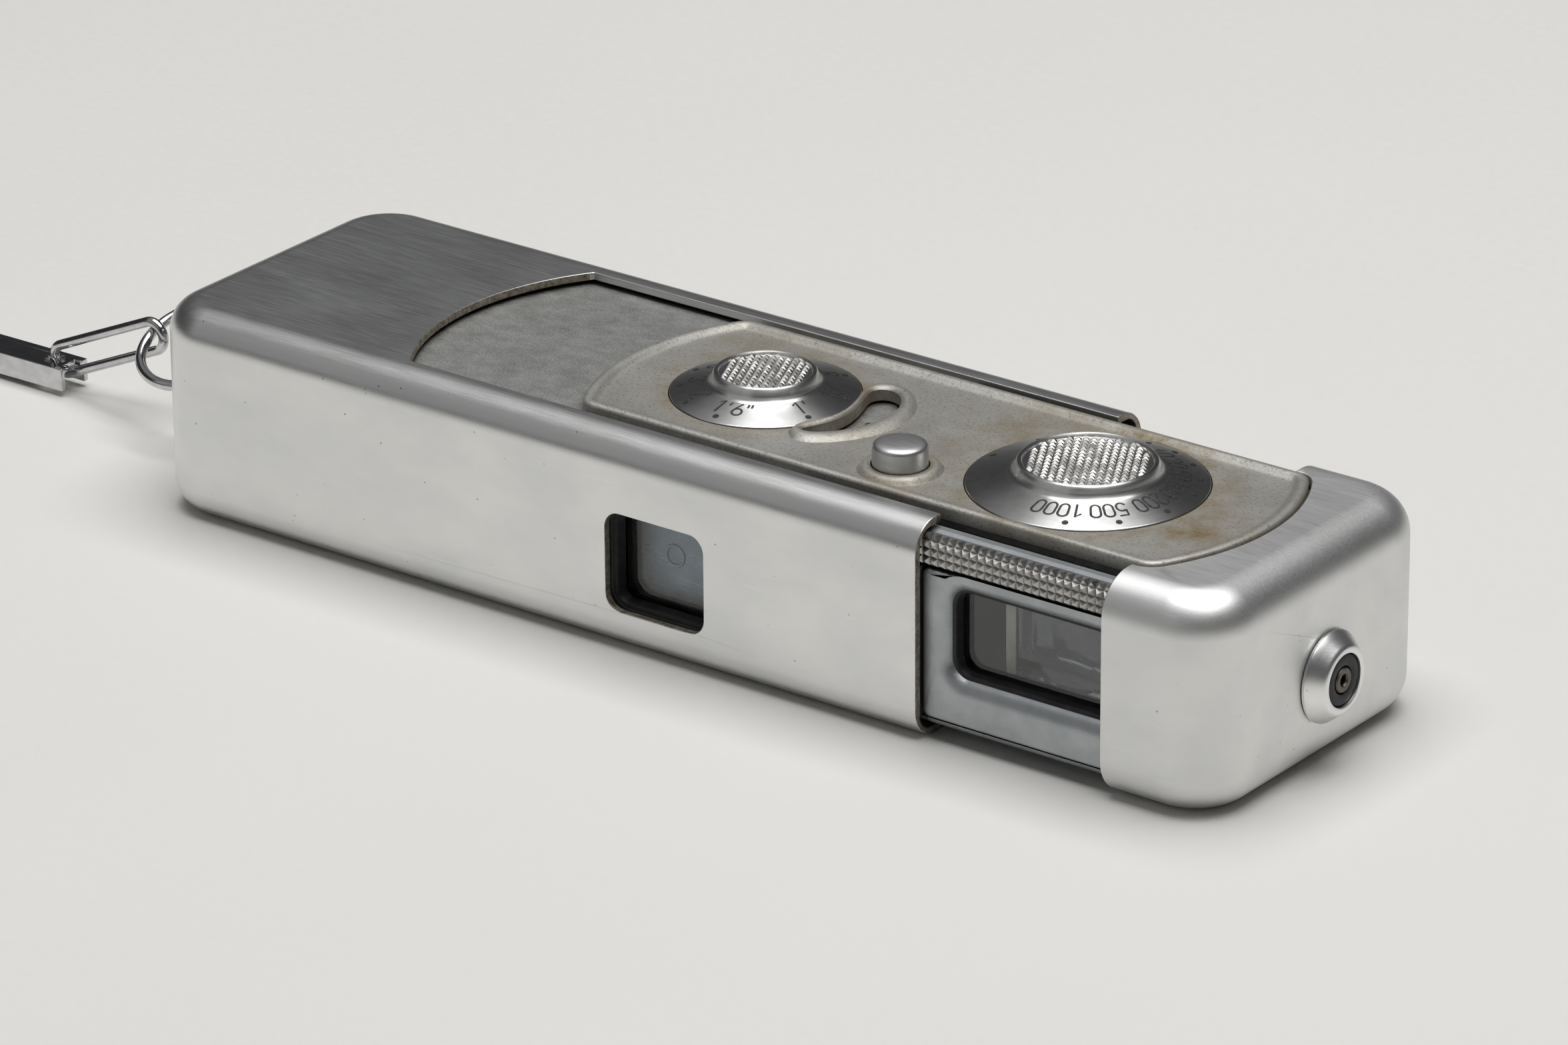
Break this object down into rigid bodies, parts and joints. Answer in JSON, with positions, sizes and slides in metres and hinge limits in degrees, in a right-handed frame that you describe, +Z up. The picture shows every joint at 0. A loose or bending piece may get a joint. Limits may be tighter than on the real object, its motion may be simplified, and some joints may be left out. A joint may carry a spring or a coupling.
{
  "type": "subminiature camera",
  "caption": "Slim metal subminiature camera drawn open, with a sliding sleeve, engraved dials, release button, viewfinder, filter slide and wrist chain.",
  "frame": {"origin": "on the underside of the sleeve, half way along the open camera", "axes": "+X towards the end cap with the flash socket, -Y the way the lens looks, +Z up through the dials"},
  "size_m": [0.1308, 0.0274, 0.0184],
  "materials": {
    "satin_aluminium": "bead blasted and lightly brushed",
    "grey_plate": "dull grey, mottled",
    "silvered_panel": "matt silver with brown grime",
    "bright_metal": "polished",
    "grey_casting": "bead blasted grey",
    "steel_parts": "machined",
    "blackened_metal": "matt black",
    "brass_gears": "machined",
    "optical_glass": "polished",
    "green_filter_glass": "polished",
    "film_base": "glossy"
  },
  "bodies": {
    "sleeve": {"sleeve_shell": "satin_aluminium", "advance_rack": "brass_gears", "chain_stud": "bright_metal"},
    "ring": {"chain_ring": "bright_metal"},
    "wire_link": {"chain_wire_link": "bright_metal"},
    "bar_link": {"chain_bar_link": "bright_metal"},
    "carriage": {"chassis": "grey_casting", "top_plate": "grey_plate", "bottom_cover": "grey_casting", "bottom_screw_front": "steel_parts", "bottom_screw_rear": "steel_parts", "control_panel": "silvered_panel", "lens_window_glass": "optical_glass", "lens_board": "blackened_metal", "lever_pin": "steel_parts", "film_gate": "blackened_metal", "film_cassette": "blackened_metal", "film_strip": "film_base", "pressure_spring": "steel_parts", "finder_bezel": "grey_casting", "finder_window_glass": "optical_glass", "finder_tunnel": "blackened_metal", "finder_front_lens": "optical_glass", "finder_eye_lens": "optical_glass", "eyepiece_bezel": "grey_casting", "eyepiece_glass": "optical_glass", "end_cap": "satin_aluminium", "socket_boss": "bright_metal", "socket_insulator": "blackened_metal", "socket_contact": "steel_parts"},
    "door": {"film_door": "grey_casting"},
    "focus": {"focus_dial": "satin_aluminium", "focus_knob": "bright_metal", "focus_shaft": "steel_parts", "focus_cam": "brass_gears"},
    "speed": {"speed_dial": "satin_aluminium", "speed_knob": "bright_metal", "speed_shaft": "steel_parts", "speed_cam": "brass_gears"},
    "counter": {"counter_disc": "grey_plate"},
    "button": {"release_button": "satin_aluminium", "button_spring": "steel_parts"},
    "lever": {"release_lever": "steel_parts"},
    "lens_cell": {"lens_barrel": "blackened_metal", "lens_element_front": "optical_glass", "lens_element_middle": "optical_glass", "lens_element_rear": "optical_glass"},
    "shutter": {"shutter_blade": "steel_parts"},
    "filter": {"filter_bar": "bright_metal", "filter_carrier": "blackened_metal", "green_filter": "green_filter_glass"},
    "take_up": {"take_up_spool": "blackened_metal", "drive_gear": "brass_gears"},
    "feed": {"feed_spool": "blackened_metal"},
    "pressure": {"pressure_plate": "steel_parts"},
    "pinion": {"advance_pinion": "brass_gears"},
    "governor": {"governor_wheel": "brass_gears"},
    "retard": {"retard_lever": "steel_parts"},
    "field_frame": {"finder_frame": "bright_metal"}
  },
  "joints": [
    {"name": "body_slide", "type": "slide", "parent": "sleeve", "child": "carriage", "axis": [1, 0, 0], "range_m": [-0.0153, 0]},
    {"name": "ring_swing", "type": "hinge", "parent": "sleeve", "child": "ring", "pos_m": [-0.0502, 0, 0.007], "axis": [0, 1, 0], "range_deg": [-20, 60]},
    {"name": "wire_link_swing", "type": "hinge", "parent": "ring", "child": "wire_link", "pos_m": [-0.0592, 0, 0.00682], "axis": [0, 1, 0], "range_deg": [-12, 45]},
    {"name": "bar_link_swing", "type": "hinge", "parent": "wire_link", "child": "bar_link", "pos_m": [-0.06932, 0, 0.00204], "axis": [0, 1, 0], "range_deg": [-2, 5]},
    {"name": "film_door_slide", "type": "slide", "parent": "carriage", "child": "door", "axis": [-1, 0, 0], "range_m": [0, 0.013]},
    {"name": "focus_turn", "type": "hinge", "parent": "carriage", "child": "focus", "pos_m": [-0.0005, 0, 0.016], "axis": [0, 0, 1], "range_deg": [-243.5, 15]},
    {"name": "speed_turn", "type": "hinge", "parent": "carriage", "child": "speed", "pos_m": [0.0277, 0, 0.016], "axis": [0, 0, 1], "range_deg": [-153, 68]},
    {"name": "counter_turn", "type": "hinge", "parent": "carriage", "child": "counter", "pos_m": [-0.0005, 0, 0.015], "axis": [0, 0, 1], "range_deg": [-7.5, 0.5]},
    {"name": "button_press", "type": "slide", "parent": "carriage", "child": "button", "axis": [0, 0, -1], "range_m": [0, 0.001], "stiffness_N_per_m": 400, "springref_m": -0.001},
    {"name": "lever_rock", "type": "hinge", "parent": "carriage", "child": "lever", "pos_m": [0.009, -0.00575, 0.013], "axis": [0, 1, 0], "range_deg": [-0.5, 9]},
    {"name": "shutter_fire", "type": "slide", "parent": "carriage", "child": "shutter", "axis": [-1, 0, 0], "range_m": [0, 0.00605]},
    {"name": "lens_focus", "type": "slide", "parent": "carriage", "child": "lens_cell", "axis": [0, -1, 0], "range_m": [-0.00007, 0.0012]},
    {"name": "filter_slide", "type": "slide", "parent": "carriage", "child": "filter", "axis": [1, 0, 0], "range_m": [-0.0062, 0]},
    {"name": "take_up_turn", "type": "hinge", "parent": "carriage", "child": "take_up", "pos_m": [-0.019, 0.0062, 0.007], "axis": [0, 0, 1], "range_deg": [-1, 251]},
    {"name": "feed_turn", "type": "hinge", "parent": "carriage", "child": "feed", "pos_m": [0.0175, 0.0062, 0.007], "axis": [0, 0, 1], "range_deg": [-1, 251]},
    {"name": "pressure_release", "type": "slide", "parent": "carriage", "child": "pressure", "axis": [0, 1, 0], "range_m": [-0.00001, 0.00061]},
    {"name": "pinion_turn", "type": "hinge", "parent": "carriage", "child": "pinion", "pos_m": [-0.01375, 0.0091, 0.013], "axis": [0, 0, 1], "range_deg": [-351, 1]},
    {"name": "governor_spin", "type": "hinge", "parent": "carriage", "child": "governor", "pos_m": [0.015, -0.008, 0.0052], "axis": [0, 1, 0], "range_deg": [-1, 173]},
    {"name": "retard_rock", "type": "hinge", "parent": "carriage", "child": "retard", "pos_m": [0.0196, -0.008, 0.011], "axis": [0, 1, 0], "range_deg": [-5, 2.5]},
    {"name": "parallax_shift", "type": "slide", "parent": "carriage", "child": "field_frame", "axis": [1, 0, 0], "range_m": [-0.00061, 0.00005]}
  ],
  "couplings": [
    {"joint": "counter_turn", "follows": "body_slide", "rad_per_m": 8.21},
    {"joint": "pinion_turn", "follows": "body_slide", "rad_per_m": 400},
    {"joint": "take_up_turn", "follows": "body_slide", "rad_per_m": -285.71},
    {"joint": "feed_turn", "follows": "body_slide", "rad_per_m": -285.71},
    {"joint": "pressure_release", "follows": "body_slide", "ratio": -0.0392},
    {"joint": "lever_rock", "follows": "button_press", "rad_per_m": 150},
    {"joint": "shutter_fire", "follows": "button_press", "ratio": 6},
    {"joint": "governor_spin", "follows": "button_press", "rad_per_m": 3000},
    {"joint": "focus_turn", "follows": "lens_focus", "rad_per_m": -3533.6},
    {"joint": "parallax_shift", "follows": "lens_focus", "ratio": -0.495},
    {"joint": "retard_rock", "follows": "speed_turn", "ratio": 0.03}
  ]
}
